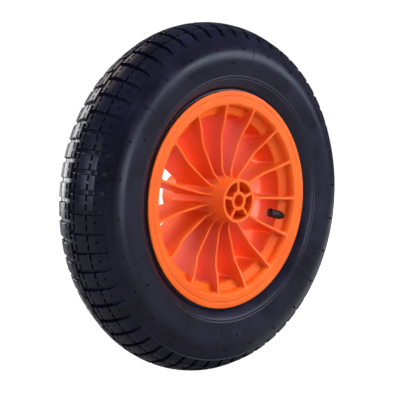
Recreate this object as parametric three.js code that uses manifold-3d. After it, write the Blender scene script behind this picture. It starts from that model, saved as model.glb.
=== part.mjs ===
// Pneumatic wheelbarrow wheel: one-piece moulded rim with fin spokes, tyre, inner tube and valve.
// Millimetres, +Z up. The origin is the wheel's centre, the axle runs along Y, and the valve
// stands on the front side, which is -Y.

import * as THREE from "three";
import { mergeVertices } from "three/addons/utils/BufferGeometryUtils.js";
import Module from "manifold-3d";

const wasm = await Module();
wasm.setup();

// ---------- driving dimensions ----------

// Rim, across its flanges and down to its well
const beadSeatDiameter = 203.2;  // nominal 8-inch rim
const rimWidth = 69.6;           // outside the two flanges
const flangeHeight = 13.4;       // above the bead seat
const flangeThickness = 3;
const wellDepth = 7.4;           // the drop centre, below the bead seat
const wallThickness = 3.1;       // under the bead seat
const wellWall = 4.2;            // at the front of the drop centre
const lipRounding = 2.5;         // where the flange face turns into the barrel
const flangeBevel = 0.8;         // on the flanges' outer edges
const seatFillet = 1.6;          // in the corner between flange and bead seat

// Spokes: radial fins as deep as the rim, waisted towards the hub
const finCount = 15;
const firstFinAngle = 92.4;      // degrees from +X towards +Z
const finRootThickness = 2;
const finTipThickness = 3;
const finWaistDepth = 48;        // front edge to rear edge between waist and hub
const finShoulder = 13.5;        // from the barrel in to the first bend of the edge
const finWaist = 30.5;           // from the barrel in to the second bend
const finShoulderDrop = 4.4;     // of the edge behind the flange face, at the first bend
const finRecess = 0.6;           // of the edge behind the flange face, at the barrel
const finFlare = 6;              // how much further the edge reaches each way on the hub
const finFlareRun = 8.7;         // from the hub out to where the flare ends

// Hub
const hubDiameter = 46.6;
const hubLength = 94.6;
const hubWall = 3.4;
const boreDiameter = 13;
const boreWall = 3.6;
const hubWebCount = 5;
const hubWebThickness = 3;
const hubFloorThickness = 3;     // closes the pockets half way along
const hubRoot = 1.5;             // how far fins and webs run into the walls they join

// Tyre, as its nominal section stands on the rim
const sectionWidth = 85.6;
const sectionHeight = 84.7;
const crownThickness = 10.8;
const sidewallThickness = 4.3;
const crownFlat = 10;            // half width of the level middle of the tread
const beadWidth = 5.8;
const beadRise = 4.9;            // from the bead's base up to the cavity between the beads
const beadWireDiameter = 3;
const beadWireRise = 3.9;        // from the bead's base to the wire's middle
const beadHeel = 1.2;            // bevel at the bead's outer foot

// Inner tube
const tubeWall = 1.6;

// Valve, a rubber-covered stem with a screwed brass core
const threadDiameter = 7.7;      // the cap's thread on the brass insert
const capWall = 0.65;
const stemWall = 0.55;           // rubber round the thread's foot
const capLength = 9.8;
const capCrown = 1;
const capReach = 12.5;           // from the well's inner face in to the cap's end
const insertDiameter = 6.4;
const mouthDiameter = 5.4;
const airwayDiameter = 4.4;
const mouthDepth = 8;
const seatLength = 1.5;          // the cone between mouth and airway
const capSealThickness = 1;
const pinDiameter = 1;
const pinTravel = 1.5;
const pinRecess = 0.3;           // of the pin's end inside the mouth
const coreRecess = 0.8;          // of the core's head inside the mouth
const coreHeadLength = 3.6;
const coreNeckRadius = 1.5;
const cupLength = 1.2;
const springWire = 0.3;
const springTurns = 5;

// Clearances
const wheelGap = 0.4;            // between rim, tyre and bead wires
const tubeGap = 0.5;             // round the inflated tube
const holeGap = 0.6;             // the valve hole over the stem, on the diameter
const valveGap = 0.2;            // between the valve's own pieces, on the radius
const stemGap = 0.7;             // from the stem to the tyre's front bead

// Facets
const wheelSegments = 36;
const valveSegments = 16;

// ---------- sizes that follow ----------

const seatRadius = beadSeatDiameter / 2;
const flangeRadius = seatRadius + flangeHeight;
const rimHalf = rimWidth / 2;
const barrelRadius = seatRadius - wallThickness;
const lipRadius = barrelRadius + lipRounding;
const wellOuter = seatRadius - wellDepth;
const wellInner = wellOuter - wellWall;
const rearWellInner = wellInner - 1;                // moulding draft
const flangeBack = rimHalf - flangeThickness;
const hubRadius = hubDiameter / 2;
const boreRadius = boreDiameter / 2;
const finPitch = 360 / finCount;
const valveAngle = firstFinAngle - 4.5 * finPitch;  // half way between two fins
const beadOuterFace = flangeBack - wheelGap;
const beadInnerFace = beadOuterFace - beadWidth;
const capDiameter = threadDiameter + 2 * (valveGap + capWall);
const stemDiameter = threadDiameter + 2 * (valveGap + stemWall);
const valveAxisY = -(beadInnerFace - stemGap - stemDiameter / 2);

// Stations across the rim, as distances from its mid-plane
const seatEdge = beadInnerFace - 1.2;
const wellEdge = seatEdge - 7;                      // foot of the drop centre's outer slope
const slopeTop = seatEdge + 0.6;
const slopeFoot = seatEdge - 4.4;
const coneFoot = rimHalf - 27.8;

// ---------- helpers ----------

const materials = {
  rim: { color: "#f4592b", roughness: 0.45, metalness: 0 },
  tyre: { color: "#24232c", roughness: 0.8, metalness: 0 },
  wire: { color: "#a98b4e", roughness: 0.4, metalness: 1 },
  tube: { color: "#1c1c1f", roughness: 0.7, metalness: 0 },
  stem: { color: "#161619", roughness: 0.6, metalness: 0 },
  cap: { color: "#0f0f12", roughness: 0.45, metalness: 0 },
  brass: { color: "#c9a04e", roughness: 0.3, metalness: 1 },
  steel: { color: "#b9bcc0", roughness: 0.3, metalness: 1 },
  seal: { color: "#7c2d22", roughness: 0.7, metalness: 0 },
};

const radians = THREE.MathUtils.degToRad;

function mesh(name, geometry, finish) {
  geometry.computeVertexNormals();
  const piece = new THREE.Mesh(geometry, new THREE.MeshStandardMaterial(materials[finish]));
  piece.name = name;
  return piece;
}

function welded(geometry) {
  geometry.deleteAttribute("normal");
  geometry.deleteAttribute("uv");
  return mergeVertices(geometry, 1e-4);
}

// Turns a closed outline of (radius, height) points round the Y axis. The facets stand outside
// the true circle and face the X and Z axes, so the size over the flats is the stated one.
function turned(outline, segments) {
  const overFlats = 1 / Math.cos(Math.PI / segments);
  const points = outline.map((p) => new THREE.Vector2(p.x * overFlats, p.y));
  if (THREE.ShapeUtils.isClockWise(points)) points.reverse();
  points.push(points[0].clone());
  return welded(new THREE.LatheGeometry(points, segments, Math.PI / segments));
}

const at = (radius, y) => new THREE.Vector2(radius, y);
const mirrored = (points) => points.map((p) => at(p.x, -p.y)).reverse();

function arc(radius, y, radiusX, radiusY, from, to, steps) {
  const curve = new THREE.EllipseCurve(
    radius, y, radiusX, radiusY, radians(from), radians(to), to < from, 0);
  return curve.getPoints(steps);
}

// A plain round piece of the valve: [radius, from, to] for the outside, and the same for the bore
function sleeve(outside, bore = []) {
  const outer = outside.flatMap(([radius, from, to]) => [at(radius, from), at(radius, to)]);
  const inner = bore.flatMap(([radius, from, to]) => [at(radius, from), at(radius, to)]);
  if (inner.length === 0) {
    inner.push(at(0, outer[0].y), at(0, outer.at(-1).y));
  }
  return turned([...outer, ...inner.reverse()], valveSegments);
}

function solid(geometry) {
  return new wasm.Manifold(new wasm.Mesh({
    numProp: 3,
    vertProperties: Float32Array.from(geometry.attributes.position.array),
    triVerts: Uint32Array.from(geometry.index.array),
  }));
}

function geometryOf(manifold) {
  const { vertProperties, triVerts } = manifold.getMesh();
  const geometry = new THREE.BufferGeometry();
  geometry.setAttribute("position", new THREE.BufferAttribute(vertProperties, 3));
  geometry.setIndex(new THREE.BufferAttribute(triVerts, 1));
  return geometry;
}

// The valve's own frame: its Y is the distance out from the axle, along the valve's axis
const valveFrame = new THREE.Group();
valveFrame.position.set(0, valveAxisY, 0);
valveFrame.quaternion.setFromUnitVectors(
  new THREE.Vector3(0, 1, 0),
  new THREE.Vector3(Math.cos(radians(valveAngle)), 0, Math.sin(radians(valveAngle))));
valveFrame.updateMatrix();

function valveHole(from, to) {
  const hole = new THREE.CylinderGeometry(1, 1, to - from, valveSegments);
  const radius = (stemDiameter + holeGap) / 2 / Math.cos(Math.PI / valveSegments);
  hole.scale(radius, 1, radius).translate(0, (from + to) / 2, 0);
  return solid(welded(hole.applyMatrix4(valveFrame.matrix)));
}

// ---------- rim ----------

// Inside of the barrel from front to rear: step, drop centre, then a cone out to the rear flange
function barrelInside(inset) {
  return [
    at(barrelRadius + inset, -(rimHalf - lipRounding)),
    at(barrelRadius + inset, -slopeTop),
    at(wellInner + inset, -slopeFoot),
    at(rearWellInner + inset, coneFoot),
    at(barrelRadius + inset, rimHalf - lipRounding),
  ];
}

function rimBarrel() {
  const outside = [
    at(lipRadius, -rimHalf),
    at(flangeRadius - flangeBevel, -rimHalf),
    at(flangeRadius, -(rimHalf - flangeBevel)),
    at(flangeRadius, -(flangeBack + flangeBevel)),
    at(flangeRadius - flangeBevel, -flangeBack),
    at(seatRadius + seatFillet, -flangeBack),
    at(seatRadius, -(flangeBack - seatFillet * 0.75)),
    at(seatRadius, -seatEdge),
    at(wellOuter, -wellEdge),
  ];
  const rear = mirrored(outside);
  rear[0] = at(wellOuter, coneFoot + 1);
  return solid(turned([...outside, ...rear, ...barrelInside(0).reverse()], wheelSegments));
}

// One fin, upright on the X axis. Its edges follow the flanges, drop to a narrower waist, then
// flare out again onto the hub. It grows thicker from hub to rim.
function fin() {
  const waist = finWaistDepth / 2;
  const edge = [
    at(hubRadius - hubRoot, waist + finFlare),
    at(hubRadius + finFlareRun * 0.08, waist + finFlare),
    at(hubRadius + finFlareRun * 0.43, waist + finFlare / 3),
    at(hubRadius + finFlareRun, waist),
    at(barrelRadius - finWaist, waist),
    at(barrelRadius - finShoulder, rimHalf - finShoulderDrop),
    at(barrelRadius + 1, rimHalf - finRecess),
  ];
  const shape = new THREE.Shape([...edge, ...barrelInside(1).reverse(), ...mirrored(edge)]);
  const blade = new THREE.ExtrudeGeometry(shape, { depth: 1, bevelEnabled: false });
  const position = blade.attributes.position;
  for (let i = 0; i < position.count; i += 1) {
    const along = (position.getX(i) - hubRadius) / (barrelRadius - hubRadius);
    const thickness = THREE.MathUtils.lerp(finRootThickness, finTipThickness, along);
    position.setZ(i, (position.getZ(i) - 0.5) * thickness);
  }
  return welded(blade);
}

function hub() {
  const half = hubLength / 2;
  const ring = (outer, inner, reach) => solid(turned(
    [at(outer, -reach), at(outer, reach), at(inner, reach), at(inner, -reach)], wheelSegments));
  const shell = ring(hubRadius, hubRadius - hubWall, half);
  const sleeveWall = ring(boreRadius + boreWall, boreRadius, half);
  const floor = ring(hubRadius - 1, boreRadius + 1, hubFloorThickness / 2);
  let body = shell.add(sleeveWall).add(floor);
  const webLength = hubRadius - hubWall - boreRadius - boreWall + 2 * hubRoot;
  const webCentre = (hubRadius - hubWall + boreRadius + boreWall) / 2;
  for (let i = 0; i < hubWebCount; i += 1) {
    const web = new THREE.BoxGeometry(webLength, hubLength, hubWebThickness);
    web.translate(webCentre, 0, 0).rotateY(-radians(firstFinAngle + (i * 360) / hubWebCount));
    body = body.add(solid(welded(web)));
  }
  return body;
}

function rim() {
  let body = rimBarrel().add(hub());
  for (let i = 0; i < finCount; i += 1) {
    body = body.add(solid(fin().rotateY(-radians(firstFinAngle - i * finPitch))));
  }
  return geometryOf(body.subtract(valveHole(wellInner - 10, seatRadius + 5)));
}

// ---------- tyre and tube ----------

const sectionCentre = seatRadius + sectionHeight / 2;
const beadBase = seatRadius + wheelGap;
const beadWireCentre = at(beadBase + beadWireRise, beadOuterFace - beadWidth / 2);
const cavityHalfWidth = sectionWidth / 2 - sidewallThickness;
const cavityTop = seatRadius + sectionHeight - crownThickness;
const cavityHalfHeight = (cavityTop - seatRadius - beadRise) / 2;

// Degrees round the cavity's ellipse, from the crown to where it meets a wall at this half width
const cavityAngle = (halfWidth, inset) =>
  180 - THREE.MathUtils.radToDeg(Math.asin(halfWidth / (cavityHalfWidth - inset)));

function cavityArc(halfWidth, inset, steps) {
  const angle = cavityAngle(halfWidth, inset);
  return arc(cavityTop - cavityHalfHeight, 0, cavityHalfHeight - inset, cavityHalfWidth - inset,
    -angle, angle, steps);
}

// The seat of a bead wire, open to the bead's base through a thin slit
function wirePocket() {
  const radius = beadWireDiameter / 2 + wheelGap;
  const slit = 10;
  const wall = arc(beadWireCentre.x, beadWireCentre.y, radius, radius, 180 - slit, -180 + slit, 6);
  return [at(beadBase, wall[0].y), ...wall, at(beadBase, wall.at(-1).y)];
}

function tyre() {
  const outside = arc(sectionCentre, 0, sectionHeight / 2, sectionWidth / 2, 20, 118, 9);
  const half = [
    at(seatRadius + sectionHeight, crownFlat),
    ...outside,
    at(flangeRadius + 1.5, flangeBack - 0.9),
    at(flangeRadius - 2.5, beadOuterFace),
    at(beadBase + seatFillet, beadOuterFace),
    at(beadBase, beadOuterFace - beadHeel),
    ...wirePocket(),
    at(beadBase, beadInnerFace + 0.8),
    at(beadBase + beadHeel, beadInnerFace),
  ];
  const inside = cavityArc(beadInnerFace, 0, 14).reverse();
  return turned([...half, ...inside, ...mirrored(half)], wheelSegments);
}

function beadWire(side) {
  const radius = beadWireDiameter / 2;
  const section = arc(beadWireCentre.x, side * beadWireCentre.y, radius, radius, 0, 360, 6);
  return turned(section.slice(1), wheelSegments);
}

// The tube fills the tyre's cavity and reaches down between the beads to the drop centre
function tubeOutline(inset) {
  const neck = beadInnerFace - inset;
  return [
    ...cavityArc(neck, inset, 14),
    at(seatRadius + inset, seatEdge - inset * 0.4),
    at(wellOuter + inset, coneFoot + 1 - inset),
    at(wellOuter + inset, -(wellEdge - inset)),
    at(seatRadius + inset, -(seatEdge - inset * 0.4)),
  ];
}

const stemRoot = seatRadius + 2.4;

function innerTube() {
  const outside = solid(turned(tubeOutline(tubeGap), wheelSegments));
  const inside = solid(turned(tubeOutline(tubeGap + tubeWall), wheelSegments));
  return geometryOf(outside.subtract(inside).subtract(valveHole(wellOuter - 5, stemRoot + 1)));
}

// ---------- valve ----------

// Stations along the valve, as distances from the axle: the cap is nearest to the hub
const capTop = wellInner - capReach;
const capFoot = capTop + capLength;
const sealTop = capTop + capCrown + valveGap;
const mouth = sealTop + capSealThickness + valveGap;
const coneTop = mouth + mouthDepth;
const coneEnd = coneTop + seatLength;
const barrelTop = coneEnd + valveGap;
const springTop = barrelTop + 1;
const springEnd = springTop + 5.2;
const barrelEnd = springEnd + 1.2;
const cupSealTop = barrelEnd + valveGap;
const cupTop = cupSealTop + 0.8;
const cupEnd = cupTop + cupLength;
const insertEnd = cupEnd + pinTravel + 1;

const capBore = threadDiameter / 2 + valveGap;
const stemBore = insertDiameter / 2 + valveGap;
const coreHead = mouthDiameter / 2 - valveGap;
const coreTop = mouth + coreRecess;
const neckTop = coreTop + coreHeadLength;
const coreBarrel = airwayDiameter / 2 - 0.25;
const springChamber = coreBarrel - 0.55;
const pinRadius = pinDiameter / 2;
const pinHole = pinRadius + valveGap;

function valveCap() {
  return sleeve(
    [[capDiameter / 2, capTop, capFoot]],
    [[0, capTop, capTop + capCrown], [capBore, capTop + capCrown, capFoot]]);
}

function capSeal() {
  return sleeve([[threadDiameter / 2 - 0.2, sealTop, sealTop + capSealThickness]]);
}

function valveStem() {
  const shoulder = capFoot + valveGap;
  return sleeve(
    [[stemDiameter / 2, shoulder, stemRoot]],
    [
      [threadDiameter / 2 + valveGap, shoulder, shoulder + 1.2],
      [stemBore, shoulder + 1.2, stemRoot],
    ]);
}

function valveInsert() {
  return sleeve(
    [
      [threadDiameter / 2, mouth, capFoot + valveGap + 0.8],
      [insertDiameter / 2, capFoot + valveGap + 0.8, insertEnd],
    ],
    [
      [mouthDiameter / 2, mouth, coneTop],
      [airwayDiameter / 2, coneEnd, insertEnd],
    ]);
}

function coreBody() {
  return sleeve(
    [
      [coreHead, coreTop, neckTop],
      [coreNeckRadius, neckTop, coneTop + 0.6],
      [coreBarrel, barrelTop, barrelEnd],
    ],
    [
      [pinHole, coreTop, springTop - 0.6],
      [springChamber, springTop - 0.6, springEnd + valveGap],
      [pinHole, springEnd + valveGap, barrelEnd],
    ]);
}

// The gasket sits on the core's neck and seals against the cone
function coreGasket() {
  const bore = coreNeckRadius + valveGap;
  return turned([
    at(coreHead, neckTop + valveGap),
    at(coreHead, coneTop - valveGap),
    at(coreHead - 0.35, coneTop + 0.3),
    at(bore, coneTop + 0.3),
    at(bore, neckTop + valveGap),
  ], valveSegments);
}

// The spring holds the pin's collar out, so the cup below the barrel stays shut
function valvePin() {
  return sleeve([
    [pinRadius, mouth + pinRecess, springTop - 0.5],
    [springChamber - valveGap, springTop - 0.4, springTop - valveGap],
    [pinRadius, springTop - 0.1, cupTop + 0.1],
    [coreBarrel - 0.15, cupTop + valveGap, cupEnd],
  ]);
}

function plungerSeal() {
  return sleeve(
    [[coreBarrel - 0.25, cupSealTop, cupTop]],
    [[pinHole, cupSealTop, cupTop]]);
}

function valveSpring() {
  const radius = pinRadius + valveGap + springWire;
  const from = springTop + springWire;
  const length = springEnd - springWire - from;
  const steps = springTurns * 8;
  const points = Array.from({ length: steps + 1 }, (_, i) => {
    const turn = (2 * Math.PI * springTurns * i) / steps;
    return new THREE.Vector3(
      radius * Math.cos(turn), from + (length * i) / steps, radius * Math.sin(turn));
  });
  const section = new THREE.Shape(
    arc(0, 0, springWire / 2, springWire / 2, 0, 360, 5).slice(1));
  return welded(new THREE.ExtrudeGeometry(section, {
    steps, bevelEnabled: false, extrudePath: new THREE.CatmullRomCurve3(points),
  }));
}

valveFrame.add(
  mesh("valve_stem", valveStem(), "stem"),
  mesh("valve_insert", valveInsert(), "brass"),
  mesh("valve_core_body", coreBody(), "brass"),
  mesh("valve_core_gasket", coreGasket(), "seal"),
  mesh("valve_spring", valveSpring(), "steel"),
  mesh("valve_pin", valvePin(), "brass"),
  mesh("plunger_seal", plungerSeal(), "seal"),
  mesh("valve_cap", valveCap(), "cap"),
  mesh("cap_seal", capSeal(), "seal"),
);

const wheel = new THREE.Group();
wheel.add(
  mesh("rim", rim(), "rim"),
  mesh("tyre", tyre(), "tyre"),
  mesh("bead_wire_front", beadWire(-1), "wire"),
  mesh("bead_wire_rear", beadWire(1), "wire"),
  mesh("inner_tube", innerTube(), "tube"),
  valveFrame,
);

export default wheel;
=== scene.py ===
import math

import bmesh
import bpy
import numpy as np
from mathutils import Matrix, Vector


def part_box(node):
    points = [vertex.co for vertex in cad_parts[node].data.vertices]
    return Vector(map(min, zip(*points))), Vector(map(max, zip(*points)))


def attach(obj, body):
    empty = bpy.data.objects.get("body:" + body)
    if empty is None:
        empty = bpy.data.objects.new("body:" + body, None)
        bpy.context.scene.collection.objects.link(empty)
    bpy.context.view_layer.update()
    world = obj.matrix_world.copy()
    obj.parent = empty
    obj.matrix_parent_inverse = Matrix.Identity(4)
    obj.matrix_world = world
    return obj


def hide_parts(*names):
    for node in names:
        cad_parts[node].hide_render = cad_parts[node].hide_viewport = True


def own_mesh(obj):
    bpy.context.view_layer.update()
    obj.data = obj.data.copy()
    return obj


# A pneumatic wheelbarrow wheel. The valve side faces -Y, +Z is up, and the axle runs along Y.
# Sizes in the dictionaries are millimetres and degrees, and the studio's are metres. "depth"
# counts from the wheel's middle plane towards the valve side, so it is -Y.

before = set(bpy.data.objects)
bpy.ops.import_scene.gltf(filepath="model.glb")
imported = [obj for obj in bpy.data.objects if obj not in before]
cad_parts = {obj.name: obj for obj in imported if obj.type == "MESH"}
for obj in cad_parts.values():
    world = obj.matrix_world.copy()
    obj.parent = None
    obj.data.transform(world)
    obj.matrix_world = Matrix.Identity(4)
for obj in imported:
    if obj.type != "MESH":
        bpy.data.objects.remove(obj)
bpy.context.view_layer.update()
mm = 0.001
rimBox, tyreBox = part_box("rim"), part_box("tyre")
tyreRadius = tyreBox[1].z / mm
tyreHalf = tyreBox[1].y / mm
hubHalf = rimBox[1].y / mm
flangeRadius = rimBox[1].z / mm
print("frame loaded: tyre", round(2 * tyreRadius, 1), "mm across")


def onWheel(radius, angle, depth):  # angle in degrees from +X towards +Z
    a = math.radians(angle)
    return (radius * math.cos(a) * mm, -depth * mm, radius * math.sin(a) * mm)


def gridFaces(rows, columns, closedRows=False):
    faces = []
    for i in range(rows if closedRows else rows - 1):
        a, b = i * columns, (i + 1) % rows * columns
        for j in range(columns):
            k = (j + 1) % columns
            faces.append((a + j, a + k, b + k, b + j))
    return faces


def rounded(corners, steps=3):
    # an outline of (radius, depth, rounding) corners with each corner eased off
    most = 0.48  # of a side, so that the roundings at its two ends stay apart
    points = []
    for i, (radius, depth, size) in enumerate(corners):
        here = Vector((radius, depth))
        before = Vector(corners[i - 1][:2]) - here
        after = Vector(corners[(i + 1) % len(corners)][:2]) - here
        if size == 0:
            points.append(here)
            continue
        a = here + before.normalized() * min(size, before.length * most)
        b = here + after.normalized() * min(size, after.length * most)
        for k in range(steps + 1):
            u = k / steps
            points.append(a * (1 - u) ** 2 + here * 2 * u * (1 - u) + b * u * u)
    return points


def turned(outline, segments=240, place=onWheel, wave=None):
    # a closed outline of (radius, depth) points turned round an axis
    verts = []
    for radius, depth in outline:
        for j in range(segments):
            angle = 360 * j / segments
            r = wave(radius, depth, angle) if wave else radius
            verts.append(place(r, angle, depth))
    return verts, gridFaces(len(outline), segments, True)


def joined(shells):
    verts, faces = [], []
    for v, f in shells:
        start = len(verts)
        verts += v
        faces += [tuple(start + n for n in face) for face in f]
    return verts, faces


def placed(name, data):
    obj = bpy.data.objects.new(name, data)
    bpy.context.scene.collection.objects.link(obj)
    return obj


def meshObject(name, shell):
    mesh = bpy.data.meshes.new(name)
    mesh.from_pydata(shell[0], [], shell[1])
    return placed(name, mesh)


def outward(mesh):
    bm = bmesh.new()
    bm.from_mesh(mesh)
    bmesh.ops.recalc_face_normals(bm, faces=bm.faces)
    bm.to_mesh(mesh)
    bm.free()


def piece(name, shell, body, material, replaces=(), sharpAngle=38):
    obj = meshObject(name, shell)
    mesh = obj.data
    mesh.validate()
    outward(mesh)
    mesh.shade_smooth()
    mesh.set_sharp_from_angle(angle=math.radians(sharpAngle))
    mesh.materials.append(material)
    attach(obj, body)
    if replaces:
        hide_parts(*replaces)
    return obj


def colour(code):  # sRGB hex to linear
    parts = [int(code[i:i + 2], 16) / 255 for i in (1, 3, 5)]
    return [p / 12.92 if p <= 0.04045 else ((p + 0.055) / 1.055) ** 2.4 for p in parts] + [1]


def grey(value):
    return (value, value, value, 1)


def addNode(tree, kind, settings=None, links=None, stops=()):
    # settings: attributes, or input values by name or number; links: input = the socket it reads;
    # stops: a colour ramp's two (place, colour) pairs
    node = tree.nodes.new(kind)
    for key, value in (settings or {}).items():
        if isinstance(key, int) or key in node.inputs:
            node.inputs[key].default_value = value
        else:
            setattr(node, key, value)
    for key, source in (links or {}).items():
        tree.links.new(source, node.inputs[key])
    for n, (place, shade) in enumerate(stops):
        node.color_ramp.elements[n].position = place
        node.color_ramp.elements[n].color = shade
    return node


def newMaterial(name, settings):
    material = bpy.data.materials.new(name)
    material.use_nodes = True
    tree = material.node_tree
    shader = tree.nodes["Principled BSDF"]
    for key, value in settings.items():
        shader.inputs[key].default_value = value
    place = addNode(tree, "ShaderNodeTexCoord").outputs["Object"]
    return material, tree, shader, place


def perMetre(sizeMm):  # texture scale that gives features of this size
    return 1 / (sizeMm * mm)


def mouldedPolypropylene():
    # Orange polypropylene, injection moulded: satin skin, light glows a little through thin fins
    look = dict(
        base="#f66d1f", deep="#f0611a", flowSize=45, scuffSize=12, glossy=0.38, dull=0.5,
        skinSize=0.9, skinBump=0.012,
    )
    material, tree, shader, place = newMaterial("orange_moulded_polypropylene", {
        "IOR": 1.49, "Specular IOR Level": 0.3, "Subsurface Weight": 0.05,
        "Subsurface Scale": 0.003, "Subsurface Radius": (1.0, 0.35, 0.06)})
    flow = addNode(tree, "ShaderNodeTexNoise", {
        "Scale": perMetre(look["flowSize"]), "Detail": 3.0}, {"Vector": place})
    tint = addNode(tree, "ShaderNodeValToRGB", links={"Fac": flow.outputs["Fac"]},
                   stops=[(0.35, colour(look["deep"])), (0.65, colour(look["base"]))])
    tree.links.new(tint.outputs["Color"], shader.inputs["Base Color"])
    scuff = addNode(tree, "ShaderNodeTexNoise", {
        "Scale": perMetre(look["scuffSize"]), "Detail": 5.0}, {"Vector": place})
    gloss = addNode(tree, "ShaderNodeValToRGB", links={"Fac": scuff.outputs["Fac"]},
                    stops=[(0.3, grey(look["glossy"])), (0.7, grey(look["dull"]))])
    tree.links.new(gloss.outputs["Color"], shader.inputs["Roughness"])
    skin = addNode(tree, "ShaderNodeTexNoise", {
        "Scale": perMetre(look["skinSize"]), "Detail": 2.0}, {"Vector": place})
    bump = addNode(tree, "ShaderNodeBump", {
        "Strength": 0.25, "Distance": look["skinBump"] * mm}, {"Height": skin.outputs["Fac"]})
    tree.links.new(bump.outputs["Normal"], shader.inputs["Normal"])
    return material


def mouldedTyreRubber():
    # Carbon-black tyre rubber, moulded: blue-black, a soft sheen, faint dull blotches and grain
    look = dict(
        base="#0a0917", dusty="#16142a", blotchSize=30, glossy=0.26, dull=0.38,
        grainSize=1.5, grainBump=0.1,
    )
    material, tree, shader, place = newMaterial("blue_black_tyre_rubber", {
        "IOR": 1.52, "Specular IOR Level": 0.35})
    blotch = addNode(tree, "ShaderNodeTexNoise", {
        "Scale": perMetre(look["blotchSize"]), "Detail": 6.0, "Roughness": 0.6}, {"Vector": place})
    tint = addNode(tree, "ShaderNodeValToRGB", links={"Fac": blotch.outputs["Fac"]},
                   stops=[(0.35, colour(look["base"])), (0.72, colour(look["dusty"]))])
    tree.links.new(tint.outputs["Color"], shader.inputs["Base Color"])
    gloss = addNode(tree, "ShaderNodeValToRGB", links={"Fac": blotch.outputs["Fac"]},
                    stops=[(0.3, grey(look["glossy"])), (0.7, grey(look["dull"]))])
    tree.links.new(gloss.outputs["Color"], shader.inputs["Roughness"])
    grain = addNode(tree, "ShaderNodeTexNoise", {
        "Scale": perMetre(look["grainSize"]), "Detail": 3.0}, {"Vector": place})
    bump = addNode(tree, "ShaderNodeBump", {
        "Strength": 0.35, "Distance": look["grainBump"] * mm}, {"Height": grain.outputs["Fac"]})
    tree.links.new(bump.outputs["Normal"], shader.inputs["Normal"])
    return material


def plainRubber(name, base, worn, roughness, mottleSize=3, spread=0.08):
    # Smooth compression-moulded rubber or plastic: slight mottling in colour and gloss
    material, tree, shader, place = newMaterial(name, {"IOR": 1.5})
    mottle = addNode(tree, "ShaderNodeTexNoise", {
        "Scale": perMetre(mottleSize), "Detail": 4.0}, {"Vector": place})
    tint = addNode(tree, "ShaderNodeValToRGB", links={"Fac": mottle.outputs["Fac"]},
                   stops=[(0.3, colour(base)), (0.75, colour(worn))])
    tree.links.new(tint.outputs["Color"], shader.inputs["Base Color"])
    gloss = addNode(tree, "ShaderNodeValToRGB", links={"Fac": mottle.outputs["Fac"]},
                    stops=[(0.3, grey(roughness - spread)), (0.7, grey(roughness + spread))])
    tree.links.new(gloss.outputs["Color"], shader.inputs["Roughness"])
    return material


def turnedMetal(name, base, worn, roughness, lineSize, smoother=0.06, rougher=0.1):
    # Metal turned on a lathe or drawn through a die: fine lines across the gloss
    material, tree, shader, place = newMaterial(name, {"Metallic": 1.0})
    lines = addNode(tree, "ShaderNodeTexNoise", {
        "Scale": perMetre(lineSize), "Detail": 2.0}, {"Vector": place})
    tint = addNode(tree, "ShaderNodeValToRGB", links={"Fac": lines.outputs["Fac"]},
                   stops=[(0.35, colour(base)), (0.7, colour(worn))])
    tree.links.new(tint.outputs["Color"], shader.inputs["Base Color"])
    gloss = addNode(tree, "ShaderNodeValToRGB", links={"Fac": lines.outputs["Fac"]},
                    stops=[(0.3, grey(roughness - smoother)), (0.7, grey(roughness + rougher))])
    tree.links.new(gloss.outputs["Color"], shader.inputs["Roughness"])
    return material


rimPlastic = mouldedPolypropylene()
tyreRubber = mouldedTyreRubber()
tubeRubber = plainRubber("talced_butyl_rubber", "#1b1b1d", "#3a3a3c", 0.6)
stemRubber = plainRubber("smooth_moulded_stem_rubber", "#070709", "#0d0d10", 0.4)
capPlastic = plainRubber("black_moulded_polyethylene", "#050506", "#0a0a0c", 0.3)
sealRubber = plainRubber("red_silicone_rubber", "#7c2d22", "#8d3a2c", 0.55)
brass = turnedMetal("turned_brass", "#cba04c", "#b68c3e", 0.28, 0.5)
bronzedWire = turnedMetal("bronze_coated_drawn_wire", "#a98b4e", "#8d7340", 0.34, 0.4)
springSteel = turnedMetal("drawn_stainless_steel", "#b9bcc0", "#a2a6ab", 0.3, 0.3)
print("materials made")

rimSize = dict(
    half=34.8, flangeBack=31.8, seat=101.6, seatEdge=24.4, wellEdge=17.4, wellOuter=94.2,
    barrel=98.5, lip=101.0, lipDepth=3.4, slopeTop=25.0, slopeFoot=20.0, wellInner=90.0,
    wellRear=89.0, coneFoot=-7.0, grooveOuter=110.0, grooveInner=107.8, grooveDepth=0.45,
    grooveSlope=0.5, fins=15, firstFin=92.4, rootThickness=2.0, tipThickness=3.0, finFillet=2.4,
    # half the fin's depth at each radius: full at the flange, waisted, then flared onto the hub
    edgeRadii=[23.3, 24.2, 26.8, 30.5, 34.0, 66.5, 69.5, 83.0, 87.0, 101.0],
    edgeDepths=[30.4, 29.6, 26.2, 24.4, 24.0, 24.0, 24.9, 30.0, 31.1, 34.5],
    # where a fin's side has points, front to rear: close together at the barrel's corners
    sidePoints=[33.0, 31.0, 28.5, 26.2, 25.0, 23.0, 21.2, 19.8, 16, 8, 0, -6, -8, -16, -24, -31],
)
hubSize = dict(
    radius=23.3, wall=3.4, bore=6.5, boreWall=3.6, webs=5, webThickness=3.0, floor=3.0,
    edge=0.7, webFillet=1.3,
)
valveLine = dict(angle=-15.6, depth=20.3, hole=4.9, drillFrom=75, drillTo=115, drillSides=48)


def barrelInside():
    s = rimSize
    return [
        (s["lip"], s["half"], 1.1), (s["barrel"], s["half"] - s["lipDepth"], 2.2),
        (s["barrel"], s["slopeTop"], 1.3), (s["wellInner"], s["slopeFoot"], 1.4),
        (s["wellRear"], s["coneFoot"], 3.5), (s["barrel"], s["lipDepth"] - s["half"], 2.2),
        (s["lip"], -s["half"], 1.1),
    ]


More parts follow.
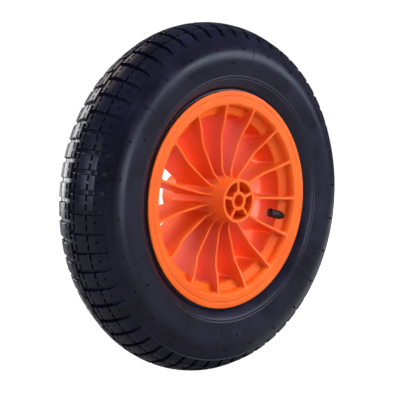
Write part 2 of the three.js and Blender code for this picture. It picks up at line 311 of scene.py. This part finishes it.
def barrelShell():
    s = rimSize
    step = s["half"] - s["grooveDepth"]
    flange = [
        (s["grooveInner"], s["half"], 0.25), (s["grooveInner"] + s["grooveSlope"], step, 0.25),
        (s["grooveOuter"] - s["grooveSlope"], step, 0.25), (s["grooveOuter"], s["half"], 0.25),
        (flangeRadius, s["half"], 1.1), (flangeRadius, s["flangeBack"], 0.9),
        (s["seat"], s["flangeBack"], 1.6),
    ]
    outside = flange + [(s["seat"], s["seatEdge"], 0.9), (s["wellOuter"], s["wellEdge"], 1.2)]
    rear = [(s["wellOuter"], s["coneFoot"] - 1, 2.0), (s["seat"], -s["seatEdge"], 0.9)]
    rear += [(r, -d, e) for r, d, e in reversed(flange)]
    outline = barrelInside()[::-1] + outside + rear
    return turned(rounded(outline))


def barrelRadiusAt(depth):
    inside = rounded(barrelInside())
    inside.sort(key=lambda p: p[1])
    return float(np.interp(depth, [p[1] for p in inside], [p[0] for p in inside]))


def finEdge(radius):
    return float(np.interp(radius, rimSize["edgeRadii"], rimSize["edgeDepths"]))


def blade(angle, inner, outerAt, edgeAt, thickness, fillet, depths, edgeRound=0.6):
    # a rib between two walls: rounded edges, and fillets that run out onto both walls
    easing = [(-1, 1), (-0.94, 0.5), (-0.68, 0.14), (0, 0), (0.68, 0.14), (0.94, 0.5), (1, 1)]
    loop = [(a, "front", e) for a, e in easing] + [(1, "side", d) for d in depths]
    loop += [(-a, "rear", e) for a, e in easing] + [(-1, "side", d) for d in reversed(depths)]
    span = outerAt(0) - inner
    sunk = (1.0, 1.2)  # how far its two ends run into the walls
    near = [0, 0.06, 0.22, 0.5, 0.9, 1.0]
    steps = [-sunk[0]] + [fillet * n for n in near]
    middle = np.linspace(fillet, span - fillet, 12)[1:-1].tolist()
    steps += middle + [span - fillet * n for n in reversed(near)] + [span + sunk[1]]
    full = edgeAt(outerAt(depths[0]))
    verts = []
    for step in steps:
        share = step / span
        half = (thickness[0] + (thickness[1] - thickness[0]) * share) / 2
        for gap in (max(step, 0), max(span - step, 0)):
            if gap < fillet:
                half += fillet - math.sqrt(fillet ** 2 - (fillet - gap) ** 2)
        for side, where, value in loop:
            radius = inner + step
            for _ in range(4):  # radius and depth hang on each other, so they settle in a few rounds
                edge = edgeAt(radius)
                if where == "side":
                    depth = value * (edge - edgeRound) / (full - edgeRound)
                else:
                    depth = (edge - value * edgeRound) * (1 if where == "front" else -1)
                radius = inner + share * (outerAt(depth) - inner)
            turn = angle + math.degrees(math.asin(side * half / radius))
            verts.append(onWheel(radius, turn, depth))
    faces = gridFaces(len(steps), len(loop))
    last = (len(steps) - 1) * len(loop)
    faces += [tuple(range(len(loop))), tuple(range(last, last + len(loop)))]
    return verts, faces


def ring(outer, inner, half, edge):
    return turned(rounded([
        (outer, half, edge), (outer, -half, edge), (inner, -half, edge), (inner, half, edge)]))


def onValve(radius, angle, station):
    # station counts from the axle out along the valve
    line = math.radians(valveLine["angle"])
    out = Vector((math.cos(line), 0, math.sin(line)))
    side = Vector((-math.sin(line), 0, math.cos(line)))
    a = math.radians(angle)
    point = out * station + side * radius * math.cos(a) + Vector((0, 1, 0)) * radius * math.sin(a)
    return tuple((point - Vector((0, valveLine["depth"], 0))) * mm)


def faced(shell, inwards=False):
    # the same shell with every face turned the same way, outwards or inwards
    obj = meshObject("facing_work", shell)
    outward(obj.data)
    faces = [tuple(p.vertices) for p in obj.data.polygons]
    bpy.data.objects.remove(obj)
    return shell[0], [face[::-1] if inwards else face for face in faces]


def withValveHole(shell):
    obj = meshObject("pierced_work", shell)
    line, sides = valveLine, valveLine["drillSides"]
    ends = (line["drillFrom"], line["drillTo"])
    verts = [onValve(line["hole"], 360 * j / sides, end) for end in ends for j in range(sides)]
    caps = [tuple(range(sides)), tuple(range(sides, 2 * sides))]
    cutter = meshObject("drill_work", faced((verts, gridFaces(2, sides) + caps)))
    hole = obj.modifiers.new("valve_hole", "BOOLEAN")
    hole.object = cutter
    hole.solver = "EXACT"
    bpy.context.view_layer.update()
    cut = bpy.data.meshes.new_from_object(obj.evaluated_get(bpy.context.evaluated_depsgraph_get()))
    bpy.data.objects.remove(cutter)
    bpy.data.objects.remove(obj)
    return [tuple(v.co) for v in cut.vertices], [tuple(p.vertices) for p in cut.polygons]


def makeRim():
    s, h = rimSize, hubSize
    shells = [withValveHole(faced(barrelShell()))]
    for k in range(s["fins"]):
        shells.append(blade(
            s["firstFin"] - k * 360 / s["fins"], h["radius"], barrelRadiusAt, finEdge,
            (s["rootThickness"], s["tipThickness"]), s["finFillet"], s["sidePoints"]))
    tube = h["bore"] + h["boreWall"]
    inside = h["radius"] - h["wall"]
    shells.append(ring(h["radius"], inside, hubHalf, h["edge"]))
    shells.append(ring(tube, h["bore"], hubHalf, h["edge"]))
    shells.append(ring(inside + 1, tube - 1, h["floor"] / 2, 0.3))
    for k in range(h["webs"]):
        shells.append(blade(
            s["firstFin"] + k * 360 / h["webs"], tube, lambda d: inside, lambda r: hubHalf,
            (h["webThickness"], h["webThickness"]), h["webFillet"], [40, 20, 0, -20, -40], 0.5))
    return piece("rim_moulding", joined(shells), "wheel", rimPlastic, ["rim"], 32)


makeRim()
print("rim made")

tread = dict(
    blocks=58, firstGroove=198.35, centreDepth=3.6, sipeDepth=2.6, notchDepth=1.6, edgeEase=0.35,
    # degrees round the wheel: half a groove's width, where its eased edge ends, and from a block's
    # middle where its cross cuts start and how far its notch reaches
    grooveHalf=0.65, easeEnd=0.8, cutStart=0.45, notchHalf=0.1,
    grooveAngles=[0, 28, 38, 46, 51, 52.5, 90], grooveDepths=[3.9, 3.7, 2.7, 1.9, 1.3, 0, 0],
)
section = dict(centre=143.95, rise=tyreRadius - 143.95, half=tyreHalf)
pitch = 360 / tread["blocks"]
halfColumns = [0, 0.60, 0.72, 0.88, 1.5, 2.1, 2.6, 2.7]
columnOffsets = halfColumns + [pitch / 2] + [pitch - c for c in reversed(halfColumns[1:])]
columnCount = len(columnOffsets)
sideShare = 4  # tread columns to one column of the smooth side wall
cavity = dict(centre=141, rise=34.5, half=38.5, sweep=136)

# rows across one half of the tread: section angle, what the row crosses, height over the section
treadRows = [
    (0.5, "centre", 0), (1.7, "centre", 0), (2.0, "edge", 0), (2.5, "top", 0), (4.8, "top", 0),
    (7.0, "top", 0), (7.4, "sipeEdge", 0), (7.7, "sipe", 0), (9.2, "sipe", 0),
    (9.5, "sipeEdge", 0), (9.9, "top", 0), (14, "top", 0.1), (18, "top", 0.15),
    (22, "top", 0.1), (25.9, "top", 0), (26.4, "sipeEdge", 0), (26.7, "sipe", 0),
    (28.2, "sipe", 0), (28.5, "sipeEdge", 0), (28.9, "top", 0), (32, "top", 0.3),
    (35.5, "top", 0.75), (37.6, "top", 1.0), (38.3, "top", 0.85), (38.9, "notch", 0.65),
    (40.2, "notch", 0.35), (41.0, "top", 0.15), (44, "top", -0.2), (48, "top", -0.25),
    (50.8, "top", -0.1), (51.7, "top", 0), (52.1, "top", 0.5), (52.8, "top", 0.5),
    (53.2, "top", 0), (55.2, "top", -0.15),
]
sideRows = [
    (57.5, -0.1), (60, 0), (61.9, 0.1), (62.5, 0.25), (63.3, 0.35), (65, 0.4), (69, 0.57),
    (73, 0.67), (77, 0.65), (81, 0.45), (85, 0.1), (89, -0.35), (93, -0.75), (97, -1.0),
    (101, -0.95), (104.5, -0.65), (107, -0.35), (108.8, -0.2), (109.4, 0.1), (110.0, -0.1),
    (112.8, 0), (113.4, 0.3), (114.0, 0), (117.4, 0.1),
]


def sectionPoint(angle, lift):
    a = math.radians(angle)
    radius = section["centre"] + (section["rise"] + lift) * math.cos(a)
    return radius, (section["half"] + lift) * math.sin(a)


def treadDepth(angle, kind, offset):
    across = min(offset, pitch - offset)  # from the middle of the groove between two blocks
    fromMiddle = pitch / 2 - across
    full = float(np.interp(angle, tread["grooveAngles"], tread["grooveDepths"]))
    depth = 0
    if across < tread["grooveHalf"]:
        depth = full
    elif across < tread["easeEnd"]:
        depth = min(tread["edgeEase"], full)
    if kind == "centre":
        depth = max(depth, tread["centreDepth"])
    if kind in ("edge", "sipeEdge"):
        if kind == "edge" or fromMiddle > tread["cutStart"]:
            depth = max(depth, tread["edgeEase"])
    if kind == "sipe" and fromMiddle > tread["cutStart"]:
        depth = max(depth, tread["sipeDepth"])
    if kind == "notch" and fromMiddle < tread["notchHalf"]:
        depth = tread["notchDepth"]
    return depth


def columnAngles(side):
    # the rear half's blocks stand half a pitch on, over the same count of columns
    angles, halfWay = [], columnCount // 2
    for block in range(tread["blocks"]):
        start = tread["firstGroove"] + block * pitch
        for i, offset in enumerate(columnOffsets):
            if side > 0:
                angles.append((start + offset, offset))
            else:
                j = (i + halfWay) % columnCount
                turn = columnOffsets[j] - pitch / 2 + (pitch if j < halfWay else 0)
                angles.append((start + turn, columnOffsets[j]))
    return angles


def makeTyre():
    fineCount = tread["blocks"] * columnCount
    columns = {side: columnAngles(side) for side in (1, -1)}

    def treadRow(side, angle, kind, lift):
        depths = {o: treadDepth(angle, kind, o) for o in columnOffsets}
        points = {o: sectionPoint(angle, lift - depths[o]) for o in columnOffsets}
        return [onWheel(points[o][0], turn, side * points[o][1]) for turn, o in columns[side]]

    def sideRow(side, radius, depth, even=False):
        turns = [columns[side][i][0] for i in range(0, fineCount, sideShare)]
        if even:
            step = pitch * sideShare / columnCount
            turns = [tread["firstGroove"] + step * i for i in range(len(turns))]
        return [onWheel(radius, turn, side * depth) for turn in turns]

    beadFace = [(116.5, 30.9), (113.0, 31.4), (104.0, 31.4), (102.7, 31.0), (102.0, 30.0),
                (102.0, 26.6), (102.6, 25.8), (103.6, 25.6)]
    halves = {}
    for side in (1, -1):
        half = [treadRow(side, *row) for row in treadRows]
        half += [sideRow(side, *sectionPoint(angle, lift)) for angle, lift in sideRows]
        half += [sideRow(side, r, d, i > 2) for i, (r, d) in enumerate(beadFace)]
        halves[side] = half
    hollow = []
    for angle in np.linspace(-cavity["sweep"], cavity["sweep"], 25):
        a = math.radians(angle)
        hollow.append(sideRow(1, cavity["centre"] + cavity["rise"] * math.cos(a),
                              cavity["half"] * math.sin(a), True))
    verts, faces, bands = [], [], []
    for row in halves[1][::-1] + halves[-1] + hollow:
        bands.append((len(verts), len(row)))
        verts += row
    for n, (start, count) in enumerate(bands):
        nextStart, nextCount = bands[(n + 1) % len(bands)]
        if count == nextCount:
            for j in range(count):
                k = (j + 1) % count
                faces.append((start + j, start + k, nextStart + k, nextStart + j))
            continue
        fine, coarse = (start, nextStart) if count > nextCount else (nextStart, start)
        for j in range(min(count, nextCount)):
            k = (j + 1) % min(count, nextCount)
            edge = [fine + (sideShare * j + i) % fineCount for i in range(sideShare + 1)]
            faces.append(tuple(edge + [coarse + k, coarse + j]))
    return piece("tyre_casing", (verts, faces), "wheel", tyreRubber, ["tyre"], 30)


makeTyre()
print("tyre made")

sideMarks = dict(
    lineAngles=[20, 80, 140, 200, 260, 320, 348.5], lineHalfWidth=0.45, lineHeight=0.5,
    nibs=26, firstNib=2, nibAngle=71, nibRadius=1.1, nibHeight=2.3, nibSides=10,
    innerNibs=6, firstInnerNib=31, innerNibAngle=91, wallBend=42.5,  # the side wall's radius there
)


def sideLift(angle):
    # the side wall's height over the plain section
    return float(np.interp(angle, [a for a, _ in sideRows], [lift for _, lift in sideRows]))


def mouldLine(side, turn):
    # a thin raised line where two mould segments met, from shoulder to bead
    across = [(-1, -0.4), (-0.5, 0.7), (0.5, 0.7), (1, -0.4)]
    verts, angles = [], np.arange(64, 117, 2)
    for angle in angles:
        for part, rise in across:
            lift = sideLift(angle) + rise * sideMarks["lineHeight"]
            radius, depth = sectionPoint(float(angle), lift)
            shift = math.degrees(part * sideMarks["lineHalfWidth"] / radius)
            verts.append(onWheel(radius, turn + shift, side * depth))
    faces = gridFaces(len(angles), len(across))
    last = (len(angles) - 1) * len(across)
    return verts, faces + [(0, 1, 2, 3), (last, last + 1, last + 2, last + 3)]


def ventNib(side, turn, angle):
    # a whisker left where air escaped from the mould
    m, verts = sideMarks, []
    for rise, size in ((-0.5, 1.3), (0.2, 1.15), (0.5, 0.9), (m["nibHeight"], 0.75)):
        for i in range(m["nibSides"]):
            a = 2 * math.pi * i / m["nibSides"]
            radial = size * m["nibRadius"] * math.cos(a)
            along = angle + math.degrees(radial / m["wallBend"])
            radius, depth = sectionPoint(along, sideLift(angle) + rise)
            shift = math.degrees(size * m["nibRadius"] * math.sin(a) / radius)
            verts.append(onWheel(radius, turn + shift, side * depth))
    foot = tuple(range(m["nibSides"]))
    tip = tuple(range(3 * m["nibSides"], 4 * m["nibSides"]))
    return verts, gridFaces(4, m["nibSides"]) + [foot, tip]


def makeSideMarks():
    m = sideMarks
    lines = [mouldLine(side, turn) for side in (1, -1) for turn in m["lineAngles"]]
    piece("tyre_mould_lines", joined(lines), "wheel", tyreRubber)
    nibs = []
    for side in (1, -1):
        for i in range(m["nibs"]):
            nibs.append(ventNib(side, m["firstNib"] + 360 / m["nibs"] * i, m["nibAngle"]))
        for i in range(m["innerNibs"]):
            turn = m["firstInnerNib"] + 360 / m["innerNibs"] * i
            nibs.append(ventNib(side, turn, m["innerNibAngle"]))
    piece("tyre_vent_nibs", joined(nibs), "wheel", tyreRubber)


makeSideMarks()

beadWireSize = dict(radius=105.9, depth=28.5, wire=1.5)
tubeSize = dict(
    gap=0.6, wall=1.5, sweep=137, seatEdge=24.2, seatSlope=0.4, wellEdge=17.2, wellRear=7.8,
)


def makeBeadWires():
    b = beadWireSize
    for end, side in (("front", 1), ("rear", -1)):
        outline = []
        for angle in range(0, 360, 30):
            a = math.radians(angle)
            outline.append((b["radius"] + b["wire"] * math.cos(a),
                            side * (b["depth"] + b["wire"] * math.sin(a))))
        piece("bead_wire_" + end + "_hoop", turned(outline, 160), "wheel",
              bronzedWire, ["bead_wire_" + end])


def makeInnerTube():
    # an outer and an inner skin that follow the tyre's hollow and the rim's well
    t, c, r = tubeSize, cavity, rimSize
    shells = []
    for inset, inwards in ((t["gap"], False), (t["gap"] + t["wall"], True)):
        outline = []
        for angle in np.linspace(-t["sweep"], t["sweep"], 30):
            a = math.radians(angle)
            outline.append((c["centre"] + (c["rise"] - inset) * math.cos(a),
                            (c["half"] - inset) * math.sin(a)))
        seat, well = r["seat"] + inset, r["wellOuter"] + inset
        seatDepth = t["seatEdge"] - inset * t["seatSlope"]
        outline += [(seat, seatDepth), (well, t["wellEdge"] - inset),
                    (well, -(t["wellRear"] - inset)), (seat, -seatDepth)]
        shells.append(faced(turned(outline, 160), inwards))
    piece("inner_tube_inflated", withValveHole(joined(shells)), "wheel", tubeRubber,
          ["inner_tube"])


makeBeadWires()
makeInnerTube()
print("tube and bead wires made")

valveSize = dict(
    capTop=77.5, capFoot=87.3, capRadius=4.7, capWall=0.65, capCrown=1.0, ribs=18, ribDepth=0.28,
    stemRadius=4.6, stemEnd=104.0, thread=3.85, threadPitch=0.794, threadDepth=0.42,
    mouth=79.9, coneTop=87.9, coneEnd=89.4, insertEnd=101.7, insertRadius=3.2,
    mouthRadius=2.7, airway=2.2, coreHead=2.5, neck=1.5, coreBarrel=1.95, springTop=90.6,
    springEnd=95.8, barrelEnd=97.0, pin=0.5, pinHole=0.7, cupTop=98.0, cupEnd=99.2,
    springRadius=1.0, springWire=0.15, springTurns=7, closedShare=0.14, closedRise=0.3,
    wireSides=10, stepsPerTurn=28, fit=0.2, sealRadius=3.65, sealThickness=1.0, stemBore=3.4,
    stemMouth=4.05, stemStep=1.2, springRoom=1.4, gasketBore=1.7, collar=1.2, cup=1.8, washer=1.7,
)
axisRadius = 0.01  # outlines turned on the valve's axis start this far off it


def turnedOnValve(corners, segments=40, wave=None):
    return turned(rounded(corners), segments, onValve, wave)


def threaded(outline, segments, start, end, depth):
    v = valveSize

    def wave(radius, station, angle):
        if radius < v["thread"] - 0.01 or not start <= station <= end:
            return radius
        phase = (station / v["threadPitch"] - angle / 360) % 1
        return radius - depth * abs(2 * phase - 1)
    return turned(outline, segments, onValve, wave)


def makeCap():
    v = valveSize
    top, foot, r = v["capTop"], v["capFoot"], v["capRadius"]
    bore = r - v["capWall"]

    def ribbed(radius, station, angle):
        if radius < r - 0.05 or not top + 0.9 < station < foot - 0.9:
            return radius
        return radius - v["ribDepth"] * (0.5 - 0.5 * math.cos(math.radians(angle * v["ribs"])))
    outline = [(axisRadius, top, 0), (r - 1.4, top, 0.4), (r, top + 0.8, 0.5), (r, top + 1.0, 0),
               (r, top + 1.5, 0), (r, foot - 1.2, 0), (r, foot - 0.9, 0), (r, foot, 0.25),
               (bore, foot, 0.2), (bore, top + v["capCrown"], 0.3),
               (axisRadius, top + v["capCrown"], 0)]
    piece("valve_cap_ribbed", turnedOnValve(outline, 144, ribbed), "valve_cap",
          capPlastic, ["valve_cap"], 50)
    sealTop = top + v["capCrown"] + v["fit"]
    sealEnd = sealTop + v["sealThickness"]
    seal = [(axisRadius, sealTop, 0), (v["sealRadius"], sealTop, 0.2),
            (v["sealRadius"], sealEnd, 0.2), (axisRadius, sealEnd, 0)]
    piece("cap_seal_disc", turnedOnValve(seal), "cap_seal", sealRubber, ["cap_seal"])


def makeStem():
    v = valveSize
    top = v["capFoot"] + v["fit"]
    step = top + v["stemStep"]
    outline = [(v["stemRadius"], top, 0.35), (v["stemRadius"], v["stemEnd"], 0),
               (v["stemBore"], v["stemEnd"], 0), (v["stemBore"], step, 0),
               (v["stemMouth"], step, 0), (v["stemMouth"], top, 0.2)]
    piece("valve_stem_rubber", turnedOnValve(outline, 64), "wheel", stemRubber,
          ["valve_stem"])
    threadEnd = v["capFoot"] + 1.0
    steps = np.linspace(v["mouth"] + 0.3, threadEnd, 96)
    outline = [(v["thread"] - 0.3, v["mouth"])] + [(v["thread"], float(s)) for s in steps]
    outline += [(v["insertRadius"], threadEnd), (v["insertRadius"], v["insertEnd"]),
                (v["airway"], v["insertEnd"]), (v["airway"], v["coneEnd"]),
                (v["mouthRadius"], v["coneTop"]), (v["mouthRadius"], v["mouth"])]
    shell = threaded(outline, 48, v["mouth"] + 0.3, threadEnd - 0.6, v["threadDepth"])
    piece("valve_insert_threaded", shell, "wheel", brass, ["valve_insert"])


def makeCore():
    v = valveSize
    head, neckTop = v["mouth"] + 0.8, v["mouth"] + 4.4
    roomTop, roomEnd = v["springTop"] - 0.6, v["springEnd"] + v["fit"]
    body = [(v["coreHead"], head, 0.2), (v["coreHead"], neckTop, 0.2), (v["neck"], neckTop, 0.1),
            (v["neck"], v["coneTop"] + 0.6, 0.1), (v["coreBarrel"], v["coneEnd"] + v["fit"], 0.2),
            (v["coreBarrel"], v["barrelEnd"], 0.15), (v["pinHole"], v["barrelEnd"], 0),
            (v["pinHole"], roomEnd, 0), (v["springRoom"], roomEnd, 0),
            (v["springRoom"], roomTop, 0), (v["pinHole"], roomTop, 0), (v["pinHole"], head, 0)]
    piece("valve_core_turned", turnedOnValve(body), "wheel", brass,
          ["valve_core_body"])
    gasketTop, gasketEnd = neckTop + v["fit"], v["coneTop"] + 0.3
    gasket = [(v["coreHead"], gasketTop, 0.15), (v["coreHead"], v["coneTop"] - v["fit"], 0.15),
              (v["coreHead"] - 0.35, gasketEnd, 0.1), (v["gasketBore"], gasketEnd, 0.1),
              (v["gasketBore"], gasketTop, 0.1)]
    piece("core_gasket_ring", turnedOnValve(gasket), "wheel", sealRubber,
          ["valve_core_gasket"])
    tip, spring, shaft = v["mouth"] + 0.3, v["springTop"], v["pin"]
    pin = [(axisRadius, tip, 0), (shaft, tip, 0.15), (shaft, spring - 0.5, 0),
           (v["collar"], spring - 0.4, 0.05), (v["collar"], spring - 0.2, 0.05),
           (shaft, spring - 0.1, 0), (shaft, v["cupTop"] + 0.1, 0),
           (v["cup"], v["cupTop"] + 0.2, 0.1), (v["cup"], v["cupEnd"], 0.2),
           (axisRadius, v["cupEnd"], 0)]
    piece("valve_pin_turned", turnedOnValve(pin, 24), "valve_pin", brass,
          ["valve_pin"])
    washerTop = v["barrelEnd"] + v["fit"]
    washer = [(v["washer"], washerTop, 0.1), (v["washer"], v["cupTop"], 0.1),
              (v["pinHole"], v["cupTop"], 0), (v["pinHole"], washerTop, 0)]
    piece("plunger_washer", turnedOnValve(washer), "valve_pin", sealRubber,
          ["plunger_seal"])


def makeSpring():
    # a coil with its end turns closed up, built at one length and given a mesh of its own; the real
    # spring shortens as the pin is pressed
    v = valveSize
    first, last = v["springTop"] + v["springWire"], v["springEnd"] - v["springWire"]
    verts, sides = [], v["wireSides"]
    steps = v["springTurns"] * v["stepsPerTurn"]
    for i in range(steps + 1):
        share = i / steps
        inOpenTurns = (share - v["closedShare"]) / (1 - 2 * v["closedShare"])
        openRise = (1 - v["closedRise"]) * min(max(inOpenTurns, 0), 1)
        station = first + (last - first) * (v["closedRise"] * share + openRise)
        for j in range(sides):
            a = 2 * math.pi * j / sides
            radius = v["springRadius"] + v["springWire"] * math.cos(a)
            verts.append(onValve(radius, 360 * v["springTurns"] * share,
                                 station + v["springWire"] * math.sin(a)))
    ends = [tuple(range(sides)), tuple(range(steps * sides, (steps + 1) * sides))]
    coil = piece("valve_spring_coil", (verts, gridFaces(steps + 1, sides) + ends), "wheel",
                 springSteel, ["valve_spring"])
    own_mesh(coil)


makeCap()
makeStem()
makeCore()
makeSpring()
print("valve made")


view = dict(
    azimuth=-44.02, elevation=6.48, distance=1.300, sensor=36, lens=109.08,
    shiftX=-0.019, shiftY=-0.0065,
)
studio = dict(
    floorHalf=6.0, paper=(0.25, 0.25, 0.26, 1), floorGlow=1.2, glowShare=0.85,
    white=(1, 1, 1, 1), background=1.05, ambient=(0.8, 0.82, 1, 1), ambientStrength=0.14,
)
cool, warm = "#e2ebff", "#fff0dc"
# name: direction from the wheel, distance, size, watts
fillLamps = {
    "front": ((-0.15, -1.0, 0.0), 1.6, (1.0, 1.0), 5),
    "front_right": ((0.35, -0.88, 0.33), 1.6, (1.0, 0.8), 21),
    "left": ((-1.0, -0.15, 0.2), 1.7, (0.8, 1.0), 6),
    "top": ((0.1, -0.1, 1.0), 1.8, (1.2, 1.2), 30),
    "rear_left": ((-0.75, 0.6, 0.3), 1.7, (0.8, 1.2), 18),
    "rear_right": ((0.7, 0.65, 0.3), 1.7, (0.8, 1.2), 55),
}
# the same, and a tint
sheenLamps = {
    "sheen_right": ((0.75, -0.6, 0.26), 1.6, (0.6, 0.65), 5, cool),
    "sheen_upper_right": ((0.5, -0.8, 0.34), 1.6, (0.5, 0.4), 3.2, cool),
    "sheen_front": ((0.1, -0.99, 0.04), 1.6, (0.6, 0.45), 5.2, cool),
    "sheen_low_right": ((0.77, -0.54, -0.34), 1.6, (0.4, 0.4), 1.9, cool),
    "sheen_left": ((-0.96, -0.12, 0.22), 1.7, (0.45, 0.6), 6, cool),
    "backdrop": ((-0.2, 0.97, 0.0), 1.5, (0.5, 2.0), 26, "#ffffff"),
    "backdrop_top": ((-0.1, 0.72, 0.69), 1.7, (0.8, 0.8), 7, warm),
}


def aimed(obj, away, distance):
    # stands off from the wheel's centre and faces it
    obj.location = away * distance
    obj.rotation_euler = away.to_track_quat("Z", "Y").to_euler()


def makeCamera():
    data = bpy.data.cameras.new("camera")
    data.sensor_width = view["sensor"]
    data.lens = view["lens"]
    data.shift_x = view["shiftX"]
    data.shift_y = view["shiftY"]
    camera = placed("camera", data)
    a, e = math.radians(view["azimuth"]), math.radians(view["elevation"])
    away = Vector((math.sin(a) * math.cos(e), -math.cos(a) * math.cos(e), math.sin(e)))
    aimed(camera, away, view["distance"])
    bpy.context.scene.camera = camera


def softbox(name, direction, distance, size, watts, tint="#ffffff"):
    data = bpy.data.lights.new(name, "AREA")
    data.shape = "RECTANGLE"
    data.size, data.size_y = size
    data.energy = watts
    data.color = colour(tint)[:3]
    light = placed(name, data)
    aimed(light, Vector(direction).normalized(), distance)
    return light


def makeFloor():
    # pale seamless studio floor
    size = studio["floorHalf"]
    z = tyreBox[0].z
    corners = [(-size, -size, z), (size, -size, z), (size, size, z), (-size, size, z)]
    floor = meshObject("floor", (corners, [(0, 1, 2, 3)]))
    material = bpy.data.materials.new("pale_studio_floor")
    material.use_nodes = True
    tree = material.node_tree
    tree.nodes.clear()
    paper = addNode(tree, "ShaderNodeBsdfDiffuse", {"Color": studio["paper"]})
    glow = addNode(tree, "ShaderNodeEmission", {
        "Color": studio["white"], "Strength": studio["floorGlow"]})
    seen = addNode(tree, "ShaderNodeLightPath").outputs["Is Camera Ray"]
    share = addNode(tree, "ShaderNodeMath", {
        "operation": "MULTIPLY", 1: studio["glowShare"]}, {0: seen})
    both = addNode(tree, "ShaderNodeMixShader", links={
        "Fac": share.outputs[0], 1: paper.outputs[0], 2: glow.outputs[0]})
    addNode(tree, "ShaderNodeOutputMaterial", links={"Surface": both.outputs[0]})
    floor.data.materials.append(material)


def makeWorld():
    # white where it is seen, and a faint cool light everywhere else
    world = bpy.data.worlds.new("studio")
    bpy.context.scene.world = world
    world.use_nodes = True
    tree = world.node_tree
    tree.nodes.clear()
    seen = addNode(tree, "ShaderNodeLightPath").outputs["Is Camera Ray"]
    dim = addNode(tree, "ShaderNodeBackground", {
        "Color": studio["ambient"], "Strength": studio["ambientStrength"]})
    white = addNode(tree, "ShaderNodeBackground", {
        "Color": studio["white"], "Strength": studio["background"]})
    both = addNode(tree, "ShaderNodeMixShader", links={
        "Fac": seen, 1: dim.outputs[0], 2: white.outputs[0]})
    addNode(tree, "ShaderNodeOutputWorld", links={"Surface": both.outputs[0]})


makeCamera()
makeFloor()
makeWorld()
for name, lamp in fillLamps.items():  # light the surfaces without showing in their gloss
    softbox(name, *lamp).visible_glossy = False
for name, lamp in sheenLamps.items():  # show only as reflections
    softbox(name, *lamp).visible_diffuse = False
bpy.context.scene.view_settings.view_transform = "Standard"
print("camera, floor and lights made")
